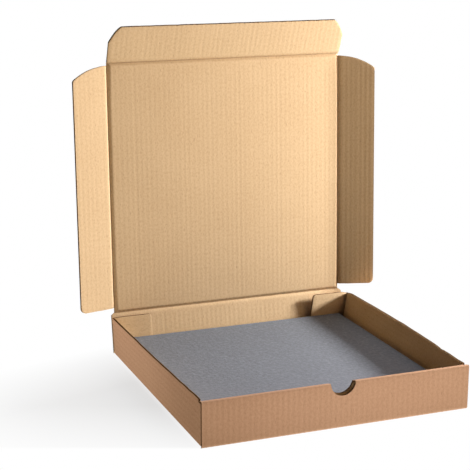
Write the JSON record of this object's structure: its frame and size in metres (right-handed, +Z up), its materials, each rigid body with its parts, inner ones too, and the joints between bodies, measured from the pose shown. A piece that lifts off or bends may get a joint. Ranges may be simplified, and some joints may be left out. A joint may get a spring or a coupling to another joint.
{
  "type": "corrugated mailer box",
  "caption": "Flat corrugated cardboard mailer box standing open: tray with a rolled front and thumb notch, hinged lid with side wings and tuck flap, and a loose fibre pad.",
  "frame": {"origin": "middle of the tray's underside, on the surface the box stands on", "axes": "+Z up, -Y towards the rolled front wall with the thumb notch, +X to the right seen from the front"},
  "size_m": [0.392, 0.3381, 0.399],
  "materials": {
    "kraft_outside": "matt kraft paper liner, pinkish brown, the box's outer face",
    "kraft_inside": "matt kraft paper liner, yellowish tan, the box's inner face, with flute lines",
    "pad_fibre": "dull grey fibre felt"
  },
  "bodies": {
    "tray": {"tray": "kraft_outside", "liner_pad": "pad_fibre"},
    "back_wall": {"back_wall": "kraft_inside"},
    "lid": {"lid_panel": "kraft_inside"},
    "tuck_flap": {"tuck_flap": "kraft_inside"},
    "left_wing": {"left_wing": "kraft_inside"},
    "right_wing": {"right_wing": "kraft_inside"}
  },
  "joints": [
    {"name": "back_wall_fold", "type": "hinge", "parent": "tray", "child": "back_wall", "pos_m": [0, 0.158, 0.0005], "axis": [1, 0, 0], "range_deg": [-81, 9]},
    {"name": "lid_hinge", "type": "hinge", "parent": "back_wall", "child": "lid", "pos_m": [0, 0.16582, 0.04988], "axis": [1, 0, 0], "range_deg": [-6.5, 80.5]},
    {"name": "tuck_flap_fold", "type": "hinge", "parent": "lid", "child": "tuck_flap", "pos_m": [0, 0.17913, 0.35459], "axis": [1, 0, 0], "range_deg": [-24, 69]},
    {"name": "left_wing_fold", "type": "hinge", "parent": "lid", "child": "left_wing", "pos_m": [-0.1515, 0.16582, 0.04988], "axis": [0, 0.0436, 0.999], "range_deg": [-14.5, 75.5]},
    {"name": "right_wing_fold", "type": "hinge", "parent": "lid", "child": "right_wing", "pos_m": [0.1515, 0.16582, 0.04988], "axis": [0, -0.0436, -0.999], "range_deg": [-20, 70]}
  ]
}
